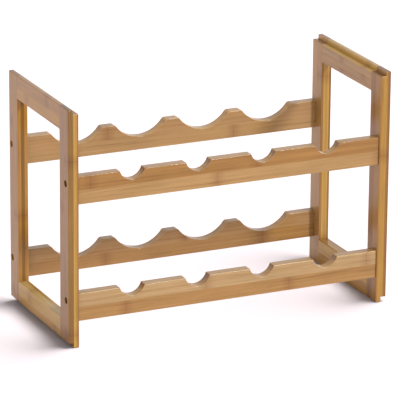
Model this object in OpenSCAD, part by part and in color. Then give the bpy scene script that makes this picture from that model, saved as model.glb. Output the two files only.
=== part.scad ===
// Stackable wine rack for eight bottles, in two tiers of four.
// Two end frames stand left and right. Four slats tie them together: each
// tier has a front slat notched for the necks and a rear slat scalloped for
// the bodies. Millimetres, +Z up, front towards -Y, origin on the floor
// under the middle of the rack.

/* [Overall size] */
// Width over the two end frames
rack_w = 470; // [450:5:620]
// Depth of the end frames, front to back
rack_d = 207; // [180:1:260]
// Height from the foot tongue to the top of the stacking lip
rack_h = 328; // [310:1:380]

/* [End frames] */
// Thickness of the frame members
board_t = 15; // [14:0.5:20]
// Width of the front and rear stiles
stile_w = 29.5; // [24:0.5:40]
// Height of the top rail, stacking lip included
top_rail_h = 33; // [26:0.5:40]
// Height of the bottom rail, foot tongue included
bottom_rail_h = 36; // [28:0.5:42]

/* [Stacking rebates] */
// Thickness of the lip along the outer top edge
lip_t = 7; // [5:0.5:8]
// Height of the lip above the shelf
lip_h = 6; // [3:0.5:8]
// Thickness of the tongue along the inner bottom edge
tongue_t = 7.5; // [5:0.5:8.5]
// Height of the tongue below the outer bottom edge
tongue_h = 7; // [4:0.5:9]

/* [Slats] */
// Thickness of a slat, front to back
slat_t = 14; // [12:0.5:18]
// Height of a slat at its flat stretches
slat_h = 38.5; // [34:0.5:44]
// Height of the lower slats' bottom edge above the floor
lower_slat_z = 36; // [30:0.5:44]
// Height from one tier to the next
tier_pitch = 161.5; // [150:0.5:175]
// Setback of the front slats from the front of the frames
front_inset = 2.5; // [0:0.5:4]

/* [Bottle rests] */
// Bottles side by side in a tier
bottles = 4; // [2:1:4]
// Distance between neighbouring bottles
bottle_pitch = 95; // [92:0.5:100]
// Radius of a neck notch
neck_r = 18.5; // [17:0.5:20]
// Depth of a neck notch below the slat's top edge
neck_depth = 13.5; // [10:0.5:14]
// Radius of a body scallop
body_r = 48.5; // [46:0.5:50]
// Depth of a body scallop below the slat's top edge
body_depth = 20; // [14:0.5:20]

/* [Fasteners] */
// Diameter of the blind recess over each screw
recess_d = 9; // [8.5:0.5:10]
// Depth of the recess in the frame's outer face
recess_depth = 5; // [4.5:0.5:6]
// Diameter of the screw head
head_d = 8; // [7:0.5:8]
// Length of a screw under its head
screw_l = 45; // [30:5:50]
// Diameter of the screw shank
shank_d = 4; // [3.5:0.5:4]
// Diameter of the wooden dowels
dowel_d = 6; // [5:0.5:7]
// Length of a dowel in a frame corner
corner_dowel_l = 40; // [20:2:44]
// Length of a dowel in the end of a slat
slat_dowel_l = 28; // [20:1:30]

/* [Hidden] */
$fn = 64;

// Cutters reach this far past the faces that they cut.
past = 1;
// Glue and clearance gap round a dowel or shank, on the radius.
gap = 0.1;
// Air left at each blind end of a dowel or screw hole.
end_gap = 1;
// Height of the screw head.
head_h = 2.5;
// Width, length and depth of the head's cross recess.
cross_w = 1;
cross_l = 4.5;
cross_depth = 1.5;
// A quarter of a slat's height separates its centre line from the screw
// above and from the dowel below.
fix_offset = slat_h / 4;
// Distance of the two corner dowels from the middle of their joint.
corner_offset = 7;
// How far a dowel in a slat's end reaches into the frame.
dowel_bite = 8;

half_w = rack_w / 2;
half_d = rack_d / 2;
// Inner face of the right-hand frame, and the shelf behind its lip.
inner_x = half_w - board_t;
shelf_z = rack_h - lip_h;
// The slats run from one inner face to the other.
slat_l = 2 * inner_x;
// The rails run between the stiles, round an open window.
rail_l = rack_d - 2 * stile_w;
window_top = rack_h - top_rail_h;
// Middle of each slat's thickness, and bottom of the upper tier's slats.
front_y = front_inset + slat_t / 2 - half_d;
rear_y = half_d - slat_t / 2;
upper_slat_z = lower_slat_z + tier_pitch;
// Middle of the full-thickness height of each rail.
top_joint_z = (window_top + shelf_z) / 2;
bottom_joint_z = (tongue_h + bottom_rail_h) / 2;

bamboo = "burlywood";
slat_bamboo = "tan";
beech = "wheat";
steel = "silver";

// ---- Shapes that repeat ----

// Section of a frame member: side is -1 for the left frame, 1 for the right.
// It spans z0 to z1. A member that reaches the frame's top edge has the lip,
// and one that reaches the bottom edge has the tongue.
module frame_section(side, z0, z1) {
    mirror([side < 0 ? 1 : 0, 0])
        difference() {
            translate([inner_x, z0])
                square([board_t, z1 - z0]);
            // Shelf behind the lip.
            translate([inner_x - past, shelf_z])
                square([board_t - lip_t + past, lip_h + past]);
            // Step outside the tongue.
            translate([inner_x + tongue_t, -past])
                square([board_t - tongue_t + past, tongue_h + past]);
        }
}

// A frame member: its section, run from y0 towards the back for len.
module frame_member(side, y0, len, z0, z1) {
    translate([0, y0 + len, 0])
        rotate([90, 0, 0])
            linear_extrude(len)
                frame_section(side, z0, z1);
}

// A rod along +X from the origin.
module along_x(d, len) {
    rotate([0, 90, 0])
        cylinder(d = d, h = len);
}

// The two dowels of a frame corner. For their holes, grow widens the radius
// and extra lengthens each end.
module corner_pair(side, y, z, grow, extra) {
    len = corner_dowel_l + 2 * extra;
    for (step = [-1, 1])
        translate([side * (inner_x + tongue_t), y + len / 2, z + step * corner_offset])
            rotate([90, 0, 0])
                cylinder(d = dowel_d + 2 * grow, h = len);
}

// Joint line between a stile and its rails: end is -1 at the front.
function joint_y(end) = end * (half_d - stile_w);

// Drilling of a frame member at its dowelled corners.
module corner_holes(side, end) {
    for (z = [top_joint_z, bottom_joint_z])
        corner_pair(side, joint_y(end), z, gap, end_gap);
}

// Drilling for one slat end: screw recess, shank hole and dowel hole.
// It lies in the right-hand frame and slat, and is mirrored for the left.
module slat_end_holes(side, y, slat_z) {
    mid_z = slat_z + slat_h / 2;
    mirror([side < 0 ? 1 : 0, 0, 0]) {
        translate([half_w - recess_depth, y, mid_z + fix_offset])
            along_x(recess_d, recess_depth + past);
        translate([half_w - recess_depth - screw_l - end_gap, y, mid_z + fix_offset])
            along_x(shank_d + 2 * gap, screw_l + end_gap + past);
        translate([inner_x + dowel_bite - slat_dowel_l - end_gap, y, mid_z - fix_offset])
            along_x(dowel_d + 2 * gap, slat_dowel_l + 2 * end_gap);
    }
}

// Front or rear stile: end is -1 at the front and 1 at the rear.
module stile(side, end) {
    slat_y = end < 0 ? front_y : rear_y;
    y0 = end < 0 ? -half_d : half_d - stile_w;
    color(bamboo)
        difference() {
            frame_member(side, y0, stile_w, 0, rack_h);
            corner_holes(side, end);
            for (slat_z = [lower_slat_z, upper_slat_z])
                slat_end_holes(side, slat_y, slat_z);
        }
}

// Rail between the stiles, spanning z0 to z1.
module rail(side, z0, z1) {
    color(bamboo)
        difference() {
            frame_member(side, -rail_l / 2, rail_l, z0, z1);
            for (end = [-1, 1])
                corner_holes(side, end);
        }
}

// A slat with one round rest cut into its top edge for each bottle.
module slat(y, slat_z, rest_r, rest_depth) {
    rest_z = slat_z + slat_h - rest_depth + rest_r;
    color(slat_bamboo)
        difference() {
            translate([-slat_l / 2, y - slat_t / 2, slat_z])
                cube([slat_l, slat_t, slat_h]);
            for (i = [0 : bottles - 1])
                translate([(i - (bottles - 1) / 2) * bottle_pitch, y + slat_t / 2 + past, rest_z])
                    rotate([90, 0, 0])
                        cylinder(r = rest_r, h = slat_t + 2 * past, $fn = 128);
            for (side = [-1, 1])
                slat_end_holes(side, y, slat_z);
        }
}

// The two dowels of one frame corner.
module corner_dowels(side, end, z) {
    color(beech)
        corner_pair(side, joint_y(end), z, 0, 0);
}

// The two dowels of one slat, one in each end.
module slat_dowels(y, slat_z) {
    color(beech)
        for (side = [-1, 1])
            mirror([side < 0 ? 1 : 0, 0, 0])
                translate([inner_x + dowel_bite - slat_dowel_l, y, slat_z + slat_h / 2 - fix_offset])
                    along_x(dowel_d, slat_dowel_l);
}

// One screw, its head's underside at the origin and its point towards -X.
module screw() {
    difference() {
        union() {
            translate([-screw_l, 0, 0])
                along_x(shank_d, screw_l);
            along_x(head_d, head_h);
        }
        for (turn = [0, 90])
            translate([head_h, 0, 0])
                rotate([turn, 0, 0])
                    cube([2 * cross_depth, cross_l, cross_w], center = true);
    }
}

// The two screws of one slat, sunk in the frames' outer faces.
module slat_screws(y, slat_z) {
    color(steel)
        for (side = [-1, 1])
            mirror([side < 0 ? 1 : 0, 0, 0])
                translate([half_w - recess_depth, y, slat_z + slat_h / 2 + fix_offset])
                    screw();
}

// ---- End frames ----

module left_front_stile() { stile(-1, -1); }
module left_rear_stile() { stile(-1, 1); }
module left_top_rail() { rail(-1, window_top, rack_h); }
module left_bottom_rail() { rail(-1, 0, bottom_rail_h); }
module right_front_stile() { stile(1, -1); }
module right_rear_stile() { stile(1, 1); }
module right_top_rail() { rail(1, window_top, rack_h); }
module right_bottom_rail() { rail(1, 0, bottom_rail_h); }

// ---- Slats ----

module upper_front_slat() { slat(front_y, upper_slat_z, neck_r, neck_depth); }
module upper_rear_slat() { slat(rear_y, upper_slat_z, body_r, body_depth); }
module lower_front_slat() { slat(front_y, lower_slat_z, neck_r, neck_depth); }
module lower_rear_slat() { slat(rear_y, lower_slat_z, body_r, body_depth); }

// ---- Dowels in the frame corners ----

module left_top_front_dowels() { corner_dowels(-1, -1, top_joint_z); }
module left_top_rear_dowels() { corner_dowels(-1, 1, top_joint_z); }
module left_bottom_front_dowels() { corner_dowels(-1, -1, bottom_joint_z); }
module left_bottom_rear_dowels() { corner_dowels(-1, 1, bottom_joint_z); }
module right_top_front_dowels() { corner_dowels(1, -1, top_joint_z); }
module right_top_rear_dowels() { corner_dowels(1, 1, top_joint_z); }
module right_bottom_front_dowels() { corner_dowels(1, -1, bottom_joint_z); }
module right_bottom_rear_dowels() { corner_dowels(1, 1, bottom_joint_z); }

// ---- Dowels and screws in the slat ends ----

module upper_front_slat_dowels() { slat_dowels(front_y, upper_slat_z); }
module upper_rear_slat_dowels() { slat_dowels(rear_y, upper_slat_z); }
module lower_front_slat_dowels() { slat_dowels(front_y, lower_slat_z); }
module lower_rear_slat_dowels() { slat_dowels(rear_y, lower_slat_z); }
module upper_front_screws() { slat_screws(front_y, upper_slat_z); }
module upper_rear_screws() { slat_screws(rear_y, upper_slat_z); }
module lower_front_screws() { slat_screws(front_y, lower_slat_z); }
module lower_rear_screws() { slat_screws(rear_y, lower_slat_z); }

left_front_stile();
left_rear_stile();
left_top_rail();
left_bottom_rail();
right_front_stile();
right_rear_stile();
right_top_rail();
right_bottom_rail();
upper_front_slat();
upper_rear_slat();
lower_front_slat();
lower_rear_slat();
left_top_front_dowels();
left_top_rear_dowels();
left_bottom_front_dowels();
left_bottom_rear_dowels();
right_top_front_dowels();
right_top_rear_dowels();
right_bottom_front_dowels();
right_bottom_rear_dowels();
upper_front_slat_dowels();
upper_rear_slat_dowels();
lower_front_slat_dowels();
lower_rear_slat_dowels();
upper_front_screws();
upper_rear_screws();
lower_front_screws();
lower_rear_screws();
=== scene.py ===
"""Looks of the stackable bamboo wine rack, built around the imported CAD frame.

Every wooden member is rebuilt with rounded edges, hairline joints and drilled holes, and gets its own
varnished bamboo. The screws get threads and cross recesses, and the dowels get flutes.
Metres, +Z up, front towards -Y.
"""

import math

import bmesh
import bpy
from mathutils import Matrix, Vector


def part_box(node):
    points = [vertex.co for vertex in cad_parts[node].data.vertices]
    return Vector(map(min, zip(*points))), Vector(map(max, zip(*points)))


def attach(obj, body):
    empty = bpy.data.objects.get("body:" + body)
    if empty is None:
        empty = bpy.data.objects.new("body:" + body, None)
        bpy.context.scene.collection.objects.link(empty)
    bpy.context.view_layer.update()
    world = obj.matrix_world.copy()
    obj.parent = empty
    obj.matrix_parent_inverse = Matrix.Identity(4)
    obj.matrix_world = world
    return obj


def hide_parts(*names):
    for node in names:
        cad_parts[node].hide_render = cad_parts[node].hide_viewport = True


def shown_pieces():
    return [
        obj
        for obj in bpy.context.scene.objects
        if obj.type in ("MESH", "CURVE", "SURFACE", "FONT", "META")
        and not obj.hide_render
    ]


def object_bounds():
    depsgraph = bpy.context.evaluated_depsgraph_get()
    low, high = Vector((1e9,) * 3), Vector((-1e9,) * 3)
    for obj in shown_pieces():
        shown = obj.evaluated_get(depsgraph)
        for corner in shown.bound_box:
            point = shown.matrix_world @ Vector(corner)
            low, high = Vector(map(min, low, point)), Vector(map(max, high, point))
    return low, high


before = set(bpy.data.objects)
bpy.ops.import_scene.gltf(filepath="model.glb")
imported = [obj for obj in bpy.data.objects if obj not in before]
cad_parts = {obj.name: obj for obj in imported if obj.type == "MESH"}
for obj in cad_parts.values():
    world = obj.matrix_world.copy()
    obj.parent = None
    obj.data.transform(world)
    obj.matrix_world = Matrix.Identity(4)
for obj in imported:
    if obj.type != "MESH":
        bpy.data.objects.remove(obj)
cad_low, cad_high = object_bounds()

MM = 0.001
X, Y, Z = 0, 1, 2
ROOT = "root"
SIDES = {"left": -1, "right": 1}
ENDS = {"front": -1, "rear": 1}
LEVELS = ("top", "bottom")
TIERS = ("upper", "lower")

# ---- Sizes inside the members, which the frame's boxes don't give ----
LIP_T = 7.0 * MM  # stacking lip along a frame's outer top edge
LIP_H = 6.0 * MM
TONGUE_T = 7.5 * MM  # stacking tongue along a frame's inner bottom edge
TONGUE_H = 7.0 * MM
BOTTLES = 4
PITCH = 95.0 * MM
NECK = (18.5 * MM, 13.5 * MM, 1.2 * MM)  # radius and depth of a rest, and rounding of its mouth
BODY = (45.5 * MM, 20.0 * MM, 5.0 * MM)  # tighter than the CAD arc, which has a sharp mouth
CORNER_R = 1.3 * MM  # rounding of a board's long corners
EDGE_R = 1.0 * MM  # rounding round a board's two faces
HAIRLINE = 0.12  # share of that rounding left where a board is glued
BUTT = 0.40  # share of it left where a slat's end meets a frame
RECESS_R = 4.5 * MM
RECESS_DEPTH = 5.0 * MM
RECESS_CHAMFER = 0.4 * MM
SHANK_R = 2.0 * MM
SCREW_L = 45.0 * MM
HEAD_R = 4.0 * MM
HEAD_H = 2.5 * MM
DOWEL_R = 3.0 * MM
SLAT_DOWEL_L = 28.0 * MM
HOLE_GAP = 0.1 * MM  # room round a shank or a dowel, on the radius
BLIND_GAP = 1.0 * MM  # air at the blind end of a hole

# ---- Fineness of the meshes ----
ROUND_STEPS = 5  # flats across a rounded edge
MOUTH_STEPS = 6  # flats across each rounded corner of a rest's mouth
REST_STEPS = 40  # flats along the round of a rest
TURNED_SIDES = 40
HOLE_SIDES = 24
NEAR = 0.1 * MM  # slack when two places are compared
STRAIGHT = 0.02  # sine of a bend that is too small to mitre
SLIVER = 0.002 * MM  # edges shorter than this are left out after drilling
BOARD_SHARP = 30  # degrees from which an edge of a board is shaded sharp
TURNED_SHARP = 40  # the same for a dowel or a screw

# ---- Places, from the frame's boxes ----
outer_x = cad_high.x
inner_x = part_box("right_front_stile")[0].x
window_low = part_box("right_bottom_rail")[1].z
window_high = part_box("right_top_rail")[0].z
shelf_z = cad_high.z - LIP_H
seat_x = outer_x - RECESS_DEPTH  # bottom of a screw's recess


# ---- Mesh helpers ----


def new_object(name, bm):
    """Turns a bmesh into an object in the scene."""
    bmesh.ops.recalc_face_normals(bm, faces=bm.faces)
    mesh = bpy.data.meshes.new(name)
    bm.to_mesh(mesh)
    bm.free()
    obj = bpy.data.objects.new(name, mesh)
    bpy.context.scene.collection.objects.link(obj)
    return obj


def point(axis, along, u, v):
    """A point from its place along an axis and its places on the other two axes, in order."""
    place = [u, v]
    place.insert(axis, along)
    return Vector(place)


def skin(bm, rings):
    """Closes a row of equally long rings of vertices into one solid."""
    count = len(rings[0])
    for a, b in zip(rings, rings[1:]):
        for i in range(count):
            j = (i + 1) % count
            bm.faces.new((a[i], b[i], b[j], a[j]))
    bm.faces.new(rings[0])
    bm.faces.new(list(reversed(rings[-1])))


def lathe(bm, axis, centre, profile, sides=TURNED_SIDES, flutes=0, flute_depth=0.0):
    """Adds the solid that turns a profile of (along, radius) points about an axis, fluted or plain."""
    rings = []
    for along, radius in profile:
        ring = []
        for k in range(sides):
            turn = math.tau * k / sides
            r = radius - flute_depth * (0.5 - 0.5 * math.cos(flutes * turn))
            ring.append(bm.verts.new(centre + point(axis, along, r * math.cos(turn), r * math.sin(turn))))
        rings.append(ring)
    skin(bm, rings)


def bake(obj):
    """Replaces an object's mesh by what its modifiers make of it."""
    graph = bpy.context.evaluated_depsgraph_get()
    graph.update()
    mesh = bpy.data.meshes.new_from_object(obj.evaluated_get(graph))
    obj.modifiers.clear()
    old = obj.data
    obj.data = mesh
    bpy.data.meshes.remove(old)
    mesh.name = obj.name


def cut(obj, cutters):
    """Takes a bmesh of cutters, none of which overlap, out of an object, and clears the slivers."""
    tool = new_object("cutters", cutters)
    drill = obj.modifiers.new("drill", "BOOLEAN")
    drill.operation = "DIFFERENCE"
    drill.solver = "EXACT"
    drill.object = tool
    bake(obj)
    bpy.data.objects.remove(tool)
    bm = bmesh.new()
    bm.from_mesh(obj.data)
    bmesh.ops.dissolve_degenerate(bm, dist=SLIVER, edges=bm.edges)
    bm.to_mesh(obj.data)
    bm.free()


def shade(obj, sharp_angle):
    """Smooth shading that keeps flat faces flat, and edges sharp from this angle in degrees."""
    for face in obj.data.polygons:
        face.use_smooth = True
    obj.data.set_sharp_from_angle(angle=math.radians(sharp_angle))
    flat = obj.modifiers.new("flat faces", "WEIGHTED_NORMAL")
    flat.keep_sharp = True
    flat.weight = 100
    bake(obj)


def adopt(obj, material, node):
    """Gives a piece its material and body, and hides the CAD node that it stands for."""
    obj.data.materials.clear()
    obj.data.materials.append(material)
    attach(obj, ROOT)
    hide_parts(node)


# ---- Outlines ----


def arc(centre, radius, start, stop, steps):
    """Points on an arc, both ends included. Angles are in radians, from +u towards +v."""
    cu, cv = centre
    angles = [start + (stop - start) * k / steps for k in range(steps + 1)]
    return [(cu + radius * math.cos(a), cv + radius * math.sin(a)) for a in angles]


def rounded(corners, steps=ROUND_STEPS):
    """Rounds an outline's convex corners by CORNER_R. Corners marked False stay sharp."""
    outline = []
    count = len(corners)
    for i, (place, soften) in enumerate(corners):
        if not soften:
            outline.append(place)
            continue
        here = Vector(place)
        before = (Vector(corners[i - 1][0]) - here).normalized() * CORNER_R
        after = (Vector(corners[(i + 1) % count][0]) - here).normalized() * CORNER_R
        centre = here + before + after
        for k in range(steps + 1):
            t = math.pi / 2 * k / steps
            outline.append(tuple(centre - after * math.cos(t) - before * math.sin(t)))
    return outline


def inset(outline, depths):
    """Moves each edge i of a counter-clockwise outline inwards by depths[i]."""
    moved = []
    count = len(outline)
    for i in range(count):
        here = Vector(outline[i])
        into = (here - Vector(outline[i - 1])).normalized()
        out_of = (Vector(outline[(i + 1) % count]) - here).normalized()
        normal_in = Vector((-into.y, into.x))
        normal_out = Vector((-out_of.y, out_of.x))
        depth_in, depth_out = depths[i - 1], depths[i]
        turn = into.x * out_of.y - into.y * out_of.x
        if abs(turn) < STRAIGHT:
            moved.append(here + normal_out * min(depth_in, depth_out))
            continue
        shift_u = (depth_in * normal_out.y - depth_out * normal_in.y) / turn
        shift_v = (depth_out * normal_in.x - depth_in * normal_out.x) / turn
        moved.append(here + Vector((shift_u, shift_v)))
    return moved


def board(name, outline, low, high, low_share, high_share, steps=ROUND_STEPS):
    """A board along Y with this XZ outline. The shares say how far each edge of an end is rounded.

    Its vertices carry how worn and how lit they are, for rubbed wear and a painted highlight: most of all
    half way round an edge, and not on the faces.
    """
    bm = bmesh.new()
    wear_and_highlight = bm.verts.layers.float.new("wear_and_highlight")
    edges = [(outline[i], outline[(i + 1) % len(outline)]) for i in range(len(outline))]
    levels = []
    for k in range(steps + 1):
        t = math.pi / 2 * k / steps
        levels.append((low + EDGE_R * (1 - math.cos(t)), EDGE_R * (1 - math.sin(t)), low_share, t))
    for k in range(steps, -1, -1):
        t = math.pi / 2 * k / steps
        levels.append((high - EDGE_R * (1 - math.cos(t)), EDGE_R * (1 - math.sin(t)), high_share, t))
    rings = []
    for y, depth, share, t in levels:
        ring = []
        for place in inset(outline, [depth * share(a, b) for a, b in edges]):
            vert = bm.verts.new((place[0], y, place[1]))
            # Painted highlight and wear, strongest half way round the rounding.
            vert[wear_and_highlight] = math.sin(2 * t)
            ring.append(vert)
        rings.append(ring)
    skin(bm, rings)
    return new_object(name, bm)


def exposed(a, b):
    """Share of the rounding that the edge from a to b keeps: all of it."""
    return 1.0


def glued(a, b):
    """Share that an edge keeps in a glued joint."""
    return HAIRLINE


def glued_at_rails(a, b):
    """Rounded beside the open window, and glued to the rails above and below it."""
    inside = window_low - NEAR < min(a[1], b[1]) and max(a[1], b[1]) < window_high + NEAR
    return 1.0 if inside else HAIRLINE


def glued_at_frames(a, b):
    """Rounded, and less so at the edges of a slat's two ends."""
    at_end = min(abs(a[0]), abs(b[0])) > inner_x - NEAR
    return BUTT if at_end else 1.0


def frame_outline(side, low, high, splits=()):
    """Section of an end frame's member between two heights, counter-clockwise.

    Its long edges get a point at each height in splits.
    """
    corners = [((inner_x, low), True)]
    if low < TONGUE_H:
        corners += [
            ((inner_x + TONGUE_T, low), True),
            ((inner_x + TONGUE_T, low + TONGUE_H), False),
            ((outer_x, low + TONGUE_H), True),
        ]
    else:
        corners += [((outer_x, low), True)]
    corners += [((outer_x, z), False) for z in splits]
    corners += [((outer_x, high), True)]
    if high > shelf_z:
        corners += [
            ((outer_x - LIP_T, high), True),
            ((outer_x - LIP_T, shelf_z), False),
            ((inner_x, shelf_z), True),
        ]
    else:
        corners += [((inner_x, high), True)]
    corners += [((inner_x, z), False) for z in reversed(splits)]
    outline = rounded(corners)
    if side < 0:
        outline = [(-u, v) for u, v in reversed(outline)]
    return outline


def slat_outline(low, high, rest):
    """Front view of a slat with its row of round rests, counter-clockwise."""
    radius, depth, fillet = rest
    rise = radius - depth + fillet
    run = math.sqrt((radius + fillet) ** 2 - rise**2)
    tilt = math.atan2(rise, run)
    outline = [(-inner_x, high.z), (-inner_x, low.z), (inner_x, low.z), (inner_x, high.z)]
    for i in reversed(range(BOTTLES)):
        u = (i - (BOTTLES - 1) / 2) * PITCH
        v = high.z - depth + radius
        mouth_v = high.z - fillet
        outline += arc((u + run, mouth_v), fillet, math.pi / 2, math.pi - tilt, MOUTH_STEPS)
        outline += arc((u, v), radius, -tilt, tilt - math.pi, REST_STEPS)[1:-1]
        outline += arc((u - run, mouth_v), fillet, tilt, math.pi / 2, MOUTH_STEPS)
    return outline


# ---- Drilling, placed from the CAD screws and dowels ----


def middle(node):
    """Middle of a CAD node's box."""
    low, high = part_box(node)
    return (low + high) / 2


def drill_corner(cutters, side_name, level, end_name):
    """Holes for a frame corner's two dowels."""
    low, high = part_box(f"{side_name}_{level}_{end_name}_dowels")
    half = (high.y - low.y) / 2 + BLIND_GAP
    radius = DOWEL_R + HOLE_GAP
    for z in (low.z + DOWEL_R, high.z - DOWEL_R):
        centre = Vector(((low.x + high.x) / 2, (low.y + high.y) / 2, z))
        lathe(cutters, Y, centre, [(-half, radius), (half, radius)], HOLE_SIDES)


def drill_slat_end(cutters, side, tier, end_name):
    """Screw recess, shank hole and dowel hole at one end of one slat."""
    screws = middle(f"{tier}_{end_name}_screws")
    narrow = SHANK_R + HOLE_GAP
    profile = [
        (seat_x - SCREW_L - BLIND_GAP, narrow),
        (seat_x, narrow),
        (seat_x, RECESS_R),
        (outer_x - RECESS_CHAMFER, RECESS_R),
        (outer_x + RECESS_CHAMFER, RECESS_R + 2 * RECESS_CHAMFER),
    ]
    lathe(cutters, X, Vector((0, screws.y, screws.z)), [(side * u, r) for u, r in profile])
    dowels = middle(f"{tier}_{end_name}_slat_dowels")
    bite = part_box(f"{tier}_{end_name}_slat_dowels")[1].x
    radius = DOWEL_R + HOLE_GAP
    ends = [bite - SLAT_DOWEL_L - BLIND_GAP, bite + BLIND_GAP]
    lathe(cutters, X, Vector((0, dowels.y, dowels.z)), [(side * u, radius) for u in ends], HOLE_SIDES)


# ---- Materials ----


class Shader:
    """A material's node tree, with short calls for its nodes."""

    def __init__(self, name):
        self.material = bpy.data.materials.new(name)
        self.material.use_nodes = True
        self.tree = self.material.node_tree
        self.tree.nodes.clear()
        self.bsdf = self.add("ShaderNodeBsdfPrincipled")
        output = self.add("ShaderNodeOutputMaterial")
        self.tree.links.new(self.bsdf.outputs["BSDF"], output.inputs["Surface"])
        coordinates = self.add("ShaderNodeTexCoord")
        self.position = coordinates.outputs["Object"]
        split = self.add("ShaderNodeSeparateXYZ")
        self.feed(split.inputs[0], self.position)
        self.axes = list(split.outputs)

    def add(self, kind, **settings):
        """A new node of this kind."""
        node = self.tree.nodes.new(kind)
        for key, value in settings.items():
            setattr(node, key, value)
        return node

    def feed(self, socket, value):
        """Links a node's output to a socket, or sets the socket to a plain value."""
        if isinstance(value, bpy.types.NodeSocket):
            self.tree.links.new(value, socket)
        else:
            socket.default_value = value

    def math(self, operation, *values):
        """A sum, product or other operation on plain values and outputs."""
        node = self.add("ShaderNodeMath", operation=operation)
        for socket, value in zip(node.inputs, values):
            self.feed(socket, value)
        return node.outputs[0]

    def fade(self, value, reach, start=1.0, stop=0.0):
        """Goes smoothly from start, at value 0, to stop, at reach."""
        node = self.add("ShaderNodeMapRange", interpolation_type="SMOOTHSTEP")
        for name, given in (("Value", value), ("From Max", reach), ("To Min", start), ("To Max", stop)):
            self.feed(node.inputs[name], given)
        return node.outputs[0]

    def spread(self, value, low, high, start, stop):
        """Takes the range low to high onto the range start to stop."""
        node = self.add("ShaderNodeMapRange")
        given = (value, low, high, start, stop)
        for name, item in zip(("Value", "From Min", "From Max", "To Min", "To Max"), given):
            self.feed(node.inputs[name], item)
        return node.outputs[0]

    def noise(self, axes, scales, seed, detail=2.0, roughness=0.5):
        """Noise with this many cells per metre along each axis. Each seed reads another part of it."""
        joined = self.add("ShaderNodeCombineXYZ")
        for i in range(3):
            self.feed(joined.inputs[i], self.math("MULTIPLY_ADD", axes[i], scales[i], seed * (3.7 + i)))
        node = self.add("ShaderNodeTexNoise")
        self.feed(node.inputs["Vector"], joined.outputs[0])
        for name, value in (("Scale", 1.0), ("Detail", detail), ("Roughness", roughness)):
            self.feed(node.inputs[name], value)
        return node.outputs[0]

    def ramp(self, value, colours, stepped=False):
        """Colours spread evenly over values 0 to 1, blended or in steps."""
        node = self.add("ShaderNodeValToRGB")
        node.color_ramp.interpolation = "CONSTANT" if stepped else "LINEAR"
        gaps = len(colours) if stepped else len(colours) - 1
        stops = node.color_ramp.elements
        while len(stops) > 1:
            stops.remove(stops[-1])
        for i, colour in enumerate(colours):
            stop = stops[0] if i == 0 else stops.new(i / gaps)
            stop.position = i / gaps
            stop.color = (*colour, 1.0)
        self.feed(node.inputs[0], value)
        return node.outputs[0]

    def mix(self, kind, share, a, b):
        """Colour a mixed with colour b, as far as share says. Kind is MIX or MULTIPLY."""
        node = self.add("ShaderNodeMix", data_type="RGBA", blend_type=kind)
        for socket, value in ((node.inputs[0], share), (node.inputs[6], a), (node.inputs[7], b)):
            self.feed(socket, value)
        return node.outputs[2]

    def scale(self, colour, factor):
        """A colour made brighter or darker."""
        node = self.add("ShaderNodeVectorMath", operation="SCALE")
        self.feed(node.inputs[0], colour)
        self.feed(node.inputs["Scale"], factor)
        return node.outputs[0]

    def bump(self, height, strength, distance):
        """Fine relief over the whole surface."""
        node = self.add("ShaderNodeBump")
        for name, value in (("Height", height), ("Strength", strength), ("Distance", distance)):
            self.feed(node.inputs[name], value)
        self.feed(self.bsdf.inputs["Normal"], node.outputs[0])

    def set(self, **values):
        """Sets the surface's own inputs, with _ for each space in a name."""
        for name, value in values.items():
            self.feed(self.bsdf.inputs[name.replace("_", " ")], value)


# Tones of steamed bamboo under varnish. All colours here are linear.
BLOND = (0.450, 0.250, 0.082)
CREAM = (0.420, 0.265, 0.118)
PALE = (0.405, 0.232, 0.085)
STRAW = (0.385, 0.212, 0.078)
HONEY = (0.360, 0.188, 0.058)
GOLD = (0.375, 0.183, 0.030)
AMBER = (0.325, 0.156, 0.038)
CARAMEL = (0.285, 0.132, 0.034)
UMBER = (0.225, 0.098, 0.016)
BRASS = (0.460, 0.262, 0.052)
WHEAT = (0.395, 0.212, 0.034)
OLIVE = (0.225, 0.112, 0.022)
IVORY = (0.520, 0.340, 0.115)

NODE_GAP = 240 * MM  # from one node of a bamboo strip to the next
NODE_ZONE = 15 * MM  # reach of a node's ruddy zone to each side
NODE_RIDGE = 1.0 * MM  # reach of its dark line to each side
NODE_WOBBLE = 5 * MM  # how far a node strays from fibre to fibre
GLUE_LINE = 0.35 * MM  # reach of a glue line to each side
FIBRE_RELIEF = 0.06 * MM

# Noise cells per metre along the grain and across it.
STREAKS = (5, 260)
FIBRES = (28, 1700)
CLOUDS = (14, 45)
WOBBLES = (30, 300)
PORES = (90, 1100)

# Colours that the tones are multiplied by. Those of the streaks go from the darkest to the palest.
STREAK_TINTS = [(0.64, 0.55, 0.42), (0.94, 0.92, 0.87), (1.0, 1.0, 1.0), (1.16, 1.20, 1.25)]
NODE_TINT = (0.80, 0.70, 0.66, 1.0)
END_GRAIN_TINT = (0.52, 0.40, 0.34, 1.0)


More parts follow.
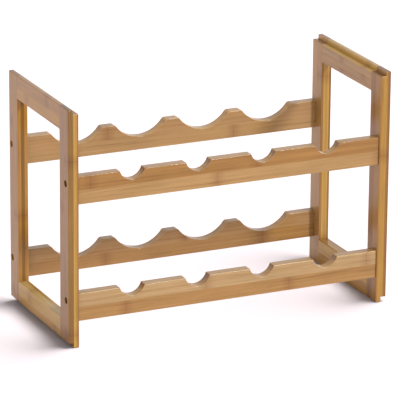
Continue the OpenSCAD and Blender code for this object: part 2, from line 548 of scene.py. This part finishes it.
def bamboo(name, box, grain, width, strips, plies, seed):
    """Varnished laminated bamboo.

    strips lists a (tone, node place) pair for each strip across the width axis. They show on the
    two broad faces. plies lists a tone for each layer across the third axis, the depth. They show
    on the narrow faces. A node place is a coordinate along the grain.
    """
    low, high = box
    depth = X + Y + Z - grain - width
    s = Shader(name)
    axes = s.axes
    stretched = [axes[grain], axes[width], axes[depth]]
    strip_w = (high[width] - low[width]) / len(strips)
    ply_t = (high[depth] - low[depth]) / len(plies)
    across = s.math("SUBTRACT", axes[width], low[width])
    deep = s.math("SUBTRACT", axes[depth], low[depth])
    across_share = s.math("DIVIDE", across, high[width] - low[width])
    deep_share = s.math("DIVIDE", deep, high[depth] - low[depth])

    def grained(cells, step, detail=2.0, roughness=0.5):
        """Noise drawn out along the grain."""
        along, crosswise = cells
        return s.noise(stretched, (along, crosswise, crosswise), seed + step, detail, roughness)

    # Tone of each strip and ply, with long streaks and fine fibres along the grain.
    strip = s.ramp(across_share, [tone for tone, _ in strips], stepped=True)
    ply = s.ramp(deep_share, plies, stepped=True)
    streak = grained(STREAKS, 0, 3.0, 0.6)
    fibre = grained(FIBRES, 1, 2.0, 0.6)
    cloud = grained(CLOUDS, 2, 1.0, 0.5)
    streak_tint = s.ramp(s.spread(streak, 0.25, 0.75, 0.0, 1.0), STREAK_TINTS)
    normal = s.add("ShaderNodeNewGeometry").outputs["Normal"]
    facing = s.add("ShaderNodeSeparateXYZ")
    s.feed(facing.inputs[0], normal)
    broad = s.spread(s.math("ABSOLUTE", facing.outputs[depth]), 0.6, 0.9, 0.0, 1.0)
    colour = s.mix("MULTIPLY", 1.0, s.mix("MIX", broad, ply, strip), streak_tint)

    # Nodes: a ruddy zone with a fine dark ridge line. A stepped ramp carries each strip's node place,
    # and the whole gaps that are added keep the distance positive.
    shades = [((place / NODE_GAP) % 1.0,) * 3 for _, place in strips]
    phase = s.math("MULTIPLY", s.ramp(across_share, shades, stepped=True), NODE_GAP)
    wobble = s.math("MULTIPLY", grained(WOBBLES, 3), NODE_WOBBLE)
    from_phase = s.math("SUBTRACT", s.math("ADD", axes[grain], wobble), phase)
    positive = s.math("ADD", from_phase, 4 * NODE_GAP - NODE_WOBBLE / 2)
    from_node = s.math("PINGPONG", positive, NODE_GAP / 2)
    zone = s.fade(from_node, NODE_ZONE)
    ridge = s.fade(from_node, NODE_RIDGE)
    colour = s.mix("MULTIPLY", s.math("MULTIPLY", zone, 0.75), colour, NODE_TINT)

    # End grain drinks the varnish and goes dark and ruddy.
    end_grain = s.spread(s.math("ABSOLUTE", facing.outputs[grain]), 0.68, 0.92, 0.0, 1.0)
    colour = s.mix("MULTIPLY", end_grain, colour, END_GRAIN_TINT)

    # Fibres, pores, ridges, glue lines and worn edges only change the brightness. The worn edges are
    # lightened: rubbed wear, and a painted highlight along each rounded edge.
    pore = s.spread(grained(PORES, 4, 1.0), 0.62, 0.78, 0.0, 1.0)
    seam_w = s.fade(s.math("PINGPONG", across, strip_w / 2), GLUE_LINE)
    seam_d = s.fade(s.math("PINGPONG", deep, ply_t / 2), GLUE_LINE)
    seam = s.math("MAXIMUM", seam_w, seam_d)
    # Mask for rubbed wear and a painted highlight on the rounded edges.
    wear_and_highlight = s.add("ShaderNodeAttribute", attribute_name="wear_and_highlight").outputs["Fac"]
    factor = s.spread(fibre, 0.2, 0.8, 0.80, 1.15)
    factor = s.math("MULTIPLY", factor, s.spread(cloud, 0.25, 0.75, 0.93, 1.06))
    for mask, strength in ((pore, 0.14), (ridge, 0.22), (seam, 0.14), (wear_and_highlight, -0.10)):
        loss = s.math("MULTIPLY", mask, strength)
        factor = s.math("MULTIPLY", factor, s.math("SUBTRACT", 1.0, loss))
    s.set(Base_Color=s.scale(colour, factor))

    # Glossy varnish that levels most of the fibre.
    s.set(Roughness=s.spread(streak, 0.2, 0.8, 0.36, 0.50))
    s.set(Specular_IOR_Level=0.05, Coat_Weight=0.70, Coat_Roughness=0.20, Coat_IOR=1.5)
    height = s.math("SUBTRACT", fibre, s.math("MULTIPLY", s.math("ADD", pore, seam), 0.7))
    height = s.math("ADD", height, s.math("MULTIPLY", zone, 1.5))
    s.bump(height, 0.25, FIBRE_RELIEF)
    return s.material


def beech():
    """Turned, compressed beech with its short flecks."""
    s = Shader("beech")
    pale = s.noise(s.axes, (300, 300, 300), 5.0, 3.0)
    fleck = s.spread(s.noise(s.axes, (700, 500, 1500), 6.0), 0.6, 0.7, 0.0, 1.0)
    colour = s.ramp(pale, [(0.50, 0.33, 0.19), (0.66, 0.48, 0.30)])
    fleck_share = s.math("MULTIPLY", fleck, 0.5)
    s.set(Base_Color=s.mix("MULTIPLY", fleck_share, colour, (0.62, 0.46, 0.34, 1.0)))
    s.set(Roughness=s.spread(pale, 0.2, 0.8, 0.60, 0.78))
    s.bump(fleck, 0.3, 0.05 * MM)
    return s.material


def zinc():
    """Dark zinc-plated steel, a little cloudy and scuffed."""
    s = Shader("zinc_steel")
    cloud = s.noise(s.axes, (900, 900, 900), 8.0, 3.0)
    scuff = s.noise(s.axes, (400, 5200, 5200), 9.0, 2.0)
    s.set(Base_Color=s.ramp(cloud, [(0.07, 0.05, 0.04), (0.18, 0.13, 0.10)]))
    s.set(Metallic=1.0)
    s.set(Roughness=s.spread(scuff, 0.25, 0.75, 0.24, 0.46))
    s.bump(scuff, 0.15, 0.02 * MM)
    return s.material


# ---- End frames ----
# Strips lie side by side across the faces seen from the side, and plies lie from -X to +X. The numbers
# are the strips' node places in millimetres, up a stile or back along a rail.

FRAME_LOOKS = {
    "left_front_stile": ([(CARAMEL, 18), (CARAMEL, 190)], [OLIVE, OLIVE, OLIVE, BRASS, WHEAT, CARAMEL]),
    "left_rear_stile": ([(AMBER, 130), (AMBER, 20)], [GOLD, UMBER, GOLD]),
    "left_top_rail": ([(GOLD, 40), (AMBER, -30)], [AMBER, GOLD, HONEY]),
    "left_bottom_rail": ([(GOLD, -55), (BRASS, 35)], [IVORY, IVORY, BRASS]),
    "right_front_stile": ([(AMBER, 210), (CARAMEL, 95)], [AMBER, WHEAT, WHEAT, WHEAT, CARAMEL, UMBER]),
    "right_rear_stile": ([(HONEY, 35), (STRAW, 165)], [AMBER, BRASS, WHEAT, BRASS, CARAMEL]),
    "right_top_rail": ([(HONEY, 15), (HONEY, -50), (STRAW, 15), (BRASS, -50)], [BRASS, BRASS, BRASS]),
    "right_bottom_rail": ([(GOLD, 25), (BRASS, -20)], [GOLD, GOLD, CARAMEL]),
}


def frame_material(node, grain, width, seed):
    """Bamboo for a member of an end frame."""
    strips, plies = FRAME_LOOKS[node]
    placed = [(tone, place * MM) for tone, place in strips]
    return bamboo(f"{node}_bamboo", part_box(node), grain, width, placed, plies, seed)


def make_stile(side_name, end_name, seed):
    """Upright member of an end frame. It is rounded where it faces out and beside the window."""
    side, end = SIDES[side_name], ENDS[end_name]
    node = f"{side_name}_{end_name}_stile"
    low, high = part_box(node)
    splits = (window_low, window_low + CORNER_R, window_high - CORNER_R, window_high)
    outline = frame_outline(side, low.z, high.z, splits)
    shares = (exposed, glued_at_rails) if end < 0 else (glued_at_rails, exposed)
    obj = board(f"{node}_board", outline, low.y, high.y, *shares)
    cutters = bmesh.new()
    for level in LEVELS:
        drill_corner(cutters, side_name, level, end_name)
    for tier in TIERS:
        drill_slat_end(cutters, side, tier, end_name)
    cut(obj, cutters)
    shade(obj, BOARD_SHARP)
    adopt(obj, frame_material(node, Z, Y, seed), node)


def make_rail(side_name, level, seed):
    """Top or bottom member of an end frame, glued between the stiles."""
    node = f"{side_name}_{level}_rail"
    low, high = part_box(node)
    outline = frame_outline(SIDES[side_name], low.z, high.z)
    obj = board(f"{node}_board", outline, low.y, high.y, glued, glued)
    cutters = bmesh.new()
    for end_name in ENDS:
        drill_corner(cutters, side_name, level, end_name)
    cut(obj, cutters)
    shade(obj, BOARD_SHARP)
    adopt(obj, frame_material(node, Y, Z, seed), node)


# ---- Slats ----
# Strips lie from the bottom edge to the top edge, and plies lie from front to back. The numbers are
# the strips' node places in millimetres, from the middle of the rack to the right.

SLAT_LOOKS = {
    "upper_front_slat": ([(PALE, -20), (AMBER, 38)], [STRAW, BLOND, STRAW]),
    "upper_rear_slat": ([(PALE, 93), (STRAW, -97)], [BLOND, BLOND, STRAW]),
    "lower_front_slat": ([(HONEY, 88), (CREAM, -35)], [PALE, BLOND, STRAW]),
    "lower_rear_slat": ([(HONEY, 140), (STRAW, 20)], [STRAW, STRAW, HONEY]),
}


def make_slat(tier, end_name, seed):
    """Slat with neck notches at the front, or with body scallops at the rear."""
    node = f"{tier}_{end_name}_slat"
    low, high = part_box(node)
    outline = slat_outline(low, high, NECK if end_name == "front" else BODY)
    obj = board(f"{node}_board", outline, low.y, high.y, glued_at_frames, glued_at_frames)
    cutters = bmesh.new()
    for side in SIDES.values():
        drill_slat_end(cutters, side, tier, end_name)
    cut(obj, cutters)
    shade(obj, BOARD_SHARP)
    strips, plies = SLAT_LOOKS[node]
    placed = [(tone, place * MM) for tone, place in strips]
    material = bamboo(f"{node}_bamboo", (low, high), X, Z, placed, plies, seed)
    adopt(obj, material, node)


# ---- Dowels and screws ----


def dowel(bm, axis, centre, low, high):
    """A fluted dowel with tapered ends, from low to high along its axis."""
    taper = 0.8 * MM
    profile = [
        (low, DOWEL_R - taper),
        (low + taper, DOWEL_R),
        (high - taper, DOWEL_R),
        (high, DOWEL_R - taper),
    ]
    lathe(bm, axis, centre, profile, sides=80, flutes=16, flute_depth=0.2 * MM)


def make_corner_dowels(side_name, level, end_name, material):
    """The two dowels across a corner of an end frame."""
    node = f"{side_name}_{level}_{end_name}_dowels"
    low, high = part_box(node)
    bm = bmesh.new()
    for z in (low.z + DOWEL_R, high.z - DOWEL_R):
        centre = Vector(((low.x + high.x) / 2, 0, z))
        dowel(bm, Y, centre, low.y, high.y)
    obj = new_object(f"{side_name}_{level}_{end_name}_dowel_pair", bm)
    shade(obj, TURNED_SHARP)
    adopt(obj, material, node)


def make_slat_dowels(tier, end_name, material):
    """The dowels in the two ends of a slat."""
    node = f"{tier}_{end_name}_slat_dowels"
    low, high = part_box(node)
    centre = Vector((0, (low.y + high.y) / 2, (low.z + high.z) / 2))
    bm = bmesh.new()
    for low_x in (low.x, high.x - SLAT_DOWEL_L):
        dowel(bm, X, centre, low_x, low_x + SLAT_DOWEL_L)
    obj = new_object(f"{tier}_{end_name}_slat_dowel_pair", bm)
    shade(obj, TURNED_SHARP)
    adopt(obj, material, node)


def screw_body(bm, side, y, z):
    """Threaded shank with a point, and a domed pan head on top of it."""
    sides = 24
    pitch = 2.4 * MM
    core = 1.3 * MM  # radius between the thread's ridges
    tip_l = 0.4 * MM  # missing end of the blunt point
    point_l = 6 * MM
    plain_l = 9 * MM  # shank without a thread, under the head
    plain_r = 1.5 * MM
    bevel = 0.2 * MM
    rim = 0.9 * MM  # height of the head's widest ring
    crown_r = 0.3 * MM  # radius of the flat on top of the dome
    step = 0.3 * MM
    rings = []
    count = round((SCREW_L - plain_l) / step)
    for i in range(count + 1):
        along = -SCREW_L + i * step
        grown = min(1.0, (i * step + tip_l) / point_l)
        ring = []
        for k in range(sides):
            turn = math.tau * k / sides
            # The ridge takes up a little under half of the pitch.
            crest = 1 - abs(2 * ((along / pitch + k / sides) % 1.0) - 1)
            radius = grown * (core + (SHANK_R - core) * max(0.0, 2.2 * crest - 1.2))
            ring.append((along, radius, turn))
        rings.append(ring)
    top = [(-plain_l + step, plain_r), (-bevel, plain_r), (0, HEAD_R - bevel)]
    for t in (0.0, 0.3, 0.6, 0.8, 0.93, 1.0):
        angle = math.pi / 2 * t
        lift = rim + (HEAD_H - rim) * math.sin(angle)
        top.append((lift, max(HEAD_R * math.cos(angle) ** 0.45, crown_r)))
    for along, radius in top:
        rings.append([(along, radius, math.tau * k / sides) for k in range(sides)])
    made = []
    for ring in rings:
        verts = []
        for along, radius, turn in ring:
            place = (side * (seat_x + along), y + radius * math.cos(turn), z + radius * math.sin(turn))
            verts.append(bm.verts.new(place))
        made.append(verts)
    skin(bm, made)


def cross_recess(bm, side, y, z):
    """The two slots of a screw's cross recess, which narrow towards the bottom."""
    depth = 1.5 * MM
    slot_w = 1.0 * MM
    slot_l = 4.4 * MM
    past = 0.5 * MM  # how far the cutter stands out of the head
    rings = []
    for along, share in ((HEAD_H - depth, 0.45), (HEAD_H + past, 1.0)):
        wide, long = slot_w / 2 * (0.5 + share / 2), slot_l / 2 * share
        plus = [(wide, wide), (long, wide), (long, -wide), (wide, -wide), (wide, -long), (-wide, -long)]
        plus += [(-wide, -wide), (-long, -wide), (-long, wide), (-wide, wide), (-wide, long), (wide, long)]
        rings.append([bm.verts.new((side * (seat_x + along), y + u, z + v)) for u, v in plus])
    skin(bm, rings)


def make_screws(tier, end_name, material):
    """The screws into the two ends of a slat."""
    node = f"{tier}_{end_name}_screws"
    centre = middle(node)
    bm = bmesh.new()
    cutters = bmesh.new()
    for side in SIDES.values():
        screw_body(bm, side, centre.y, centre.z)
        cross_recess(cutters, side, centre.y, centre.z)
    obj = new_object(f"{tier}_{end_name}_screw_pair", bm)
    cut(obj, cutters)
    shade(obj, TURNED_SHARP)
    adopt(obj, material, node)


# ---- Stage ----

# The camera's angles in degrees, its distance from the point that it aims at, how far it then slides,
# and its focal length in millimetres.
VIEW_AZIMUTH = -24.684
VIEW_ELEVATION = 18.166
VIEW_ROLL = 0.46
VIEW_DISTANCE = 4740.5 * MM
AIM = Vector((0, 6.5, 167)) * MM
SLIDE_RIGHT = 3.803 * MM
SLIDE_DOWN = 22.481 * MM
LENS = 314.19

FLOOR_REACH = 7.0
FLOOR_DROP = 0.2 * MM  # keeps the floor clear of the feet
FLOOR_TONES = [(0.42, 0.382, 0.395), (0.44, 0.402, 0.415)]

# Sine of the elevation where the studio's walls end, and their brightness. Then the sine where its
# ceiling starts, and its brightness.
WALLS = (0.40, 1.12)
CEILING = (0.70, 0.50)


def direction(azimuth, elevation):
    """Unit vector at these angles in degrees. Azimuth 0 is straight in front, and 90 to the right."""
    a, e = math.radians(azimuth), math.radians(elevation)
    return Vector((math.sin(a) * math.cos(e), -math.cos(a) * math.cos(e), math.sin(e)))


def sun(name, towards, strength, spread, lit, shading=None):
    """A sun that shines on one collection only, and may be shaded by one collection only.

    Its spread is the angle in degrees that it fills in the sky, which softens its shadows.
    """
    light = bpy.data.lights.new(name, "SUN")
    light.energy = strength
    light.angle = math.radians(spread)
    obj = bpy.data.objects.new(name, light)
    obj.rotation_mode = "QUATERNION"
    obj.rotation_quaternion = towards.to_track_quat("Z", "Y")
    bpy.context.scene.collection.objects.link(obj)
    obj.light_linking.receiver_collection = lit
    obj.light_linking.blocker_collection = shading


def make_floor():
    """A pale floor that runs out of sight."""
    bm = bmesh.new()
    reach = FLOOR_REACH
    corners = [(-reach, -reach), (reach, -reach), (reach, reach), (-reach, reach)]
    bm.faces.new([bm.verts.new((x, y, -FLOOR_DROP)) for x, y in corners])
    floor = new_object("floor", bm)
    s = Shader("floor_paper")
    mottle = s.noise(s.axes, (3, 3, 3), 2.0)
    s.set(Base_Color=s.ramp(mottle, FLOOR_TONES))
    s.set(Roughness=0.9, Specular_IOR_Level=0.1)
    floor.data.materials.append(s.material)
    return floor


def make_world():
    """A studio with bright walls and a dim ceiling, and a smooth change between them."""
    world = bpy.data.worlds.new("studio")
    bpy.context.scene.world = world
    world.use_nodes = True
    tree = world.node_tree
    coordinates = tree.nodes.new("ShaderNodeTexCoord")
    split = tree.nodes.new("ShaderNodeSeparateXYZ")
    ramp = tree.nodes.new("ShaderNodeValToRGB")
    tree.links.new(coordinates.outputs["Generated"], split.inputs[0])
    tree.links.new(split.outputs[2], ramp.inputs[0])
    tree.links.new(ramp.outputs[0], tree.nodes["Background"].inputs["Color"])
    for stop, (height, level) in zip(ramp.color_ramp.elements, (WALLS, CEILING)):
        stop.position = height
        stop.color = (level, level, level, 1.0)


def make_camera():
    """A long lens from the left front, looking down, with a slight roll."""
    azimuth = math.radians(VIEW_AZIMUTH)
    roll = math.radians(VIEW_ROLL)
    look = -direction(VIEW_AZIMUTH, VIEW_ELEVATION)
    level = Vector((math.cos(azimuth), math.sin(azimuth), 0))
    up = level.cross(look)
    right = math.cos(roll) * level + math.sin(roll) * up
    above = math.cos(roll) * up - math.sin(roll) * level
    place = AIM - VIEW_DISTANCE * look + SLIDE_RIGHT * level - SLIDE_DOWN * up
    data = bpy.data.cameras.new("camera")
    data.lens = LENS
    data.clip_end = 100.0
    camera = bpy.data.objects.new("camera", data)
    bpy.context.scene.collection.objects.link(camera)
    turn = Matrix((right, above, -look)).transposed().to_4x4()
    camera.matrix_world = Matrix.Translation(place) @ turn
    bpy.context.scene.camera = camera


# ---- Build ----

# Each board's bamboo takes its noises from its own run of seeds.
SEED_STEP = 7
seed = 1
for side_name in SIDES:
    for end_name in ENDS:
        make_stile(side_name, end_name, seed)
        seed += SEED_STEP
    for level in LEVELS:
        make_rail(side_name, level, seed)
        seed += SEED_STEP
for tier in TIERS:
    for end_name in ENDS:
        make_slat(tier, end_name, seed)
        seed += SEED_STEP

beech_material = beech()
zinc_material = zinc()
for side_name in SIDES:
    for level in LEVELS:
        for end_name in ENDS:
            make_corner_dowels(side_name, level, end_name, beech_material)
for tier in TIERS:
    for end_name in ENDS:
        make_slat_dowels(tier, end_name, beech_material)
        make_screws(tier, end_name, zinc_material)

# The rack and the floor have suns of their own. Only the stiles and the bottom rails shade the
# floor's sun.
rack_lit = bpy.data.collections.new("rack_lit")
floor_lit = bpy.data.collections.new("floor_lit")
near_floor = bpy.data.collections.new("near_floor")
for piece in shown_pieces():
    rack_lit.objects.link(piece)
    if "stile" in piece.name or "bottom_rail" in piece.name:
        near_floor.objects.link(piece)
floor_lit.objects.link(make_floor())
sun("key", direction(28, 33), strength=2.2, spread=8, lit=rack_lit)
sun("left_fill", direction(-65, 25), strength=0.30, spread=60, lit=rack_lit)
sun("floor_wash", direction(75, 65), strength=7.4, spread=43, lit=floor_lit, shading=near_floor)
make_world()
make_camera()
bpy.context.scene.view_settings.view_transform = "Standard"
